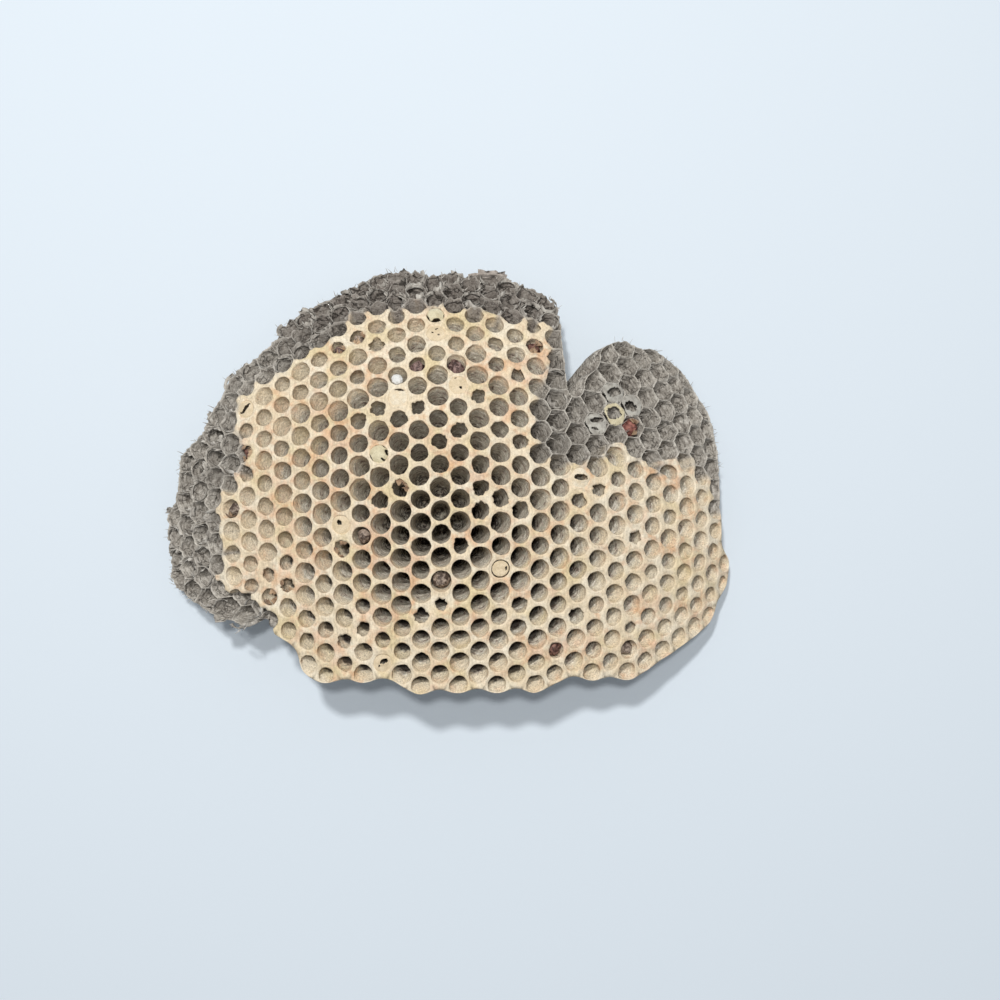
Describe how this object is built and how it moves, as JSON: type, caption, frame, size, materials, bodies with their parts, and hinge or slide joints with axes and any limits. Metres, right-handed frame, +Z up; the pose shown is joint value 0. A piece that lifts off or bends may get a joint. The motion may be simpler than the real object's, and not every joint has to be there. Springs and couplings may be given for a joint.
{
  "type": "hornet nest comb",
  "caption": "Domed comb of gray and cream paper cells from a hornet nest, with silk caps over some cells and dried brood in others, lying on its back.",
  "frame": {"origin": "on the surface that the comb lies on, below the middle of its box", "axes": "+Z up out of the cell mouths at the top of the dome; +X along the comb's width; +Y towards its notched upper edge"},
  "size_m": [0.1875, 0.1394, 0.038],
  "materials": {
    "comb_paper": "matt wasp paper, gray at the margins and lined with cream silk in the middle, with orange stains",
    "gray_paper": "matt gray wood-fibre paper, banded and frayed",
    "cap_silk": "smooth spun silk, soft sheen",
    "dried_brood": "shrivelled, dark brown, slightly glossy",
    "white_silk": "loose white silk, matt"
  },
  "bodies": {
    "root": {"comb": "comb_paper", "dried_brood_01": "dried_brood", "dried_brood_02": "dried_brood", "dried_brood_03": "dried_brood", "dried_brood_04": "dried_brood", "dried_brood_05": "dried_brood", "dried_brood_06": "dried_brood", "dried_brood_07": "dried_brood", "dried_brood_08": "dried_brood", "dried_brood_09": "dried_brood", "dried_brood_10": "dried_brood", "dried_brood_11": "dried_brood", "dried_brood_12": "dried_brood", "silk_ball": "white_silk", "silk_cap_01": "cap_silk", "silk_cap_02": "cap_silk", "silk_cap_03": "cap_silk", "silk_cap_04": "cap_silk", "silk_cap_05": "cap_silk", "silk_cap_06": "cap_silk", "silk_cap_07": "cap_silk", "silk_cap_08": "cap_silk", "silk_cap_09": "cap_silk", "silk_cap_10": "cap_silk", "silk_cap_11": "cap_silk", "silk_cap_12": "cap_silk", "silk_cap_13": "cap_silk", "silk_cap_14": "cap_silk"}
  },
  "joints": []
}
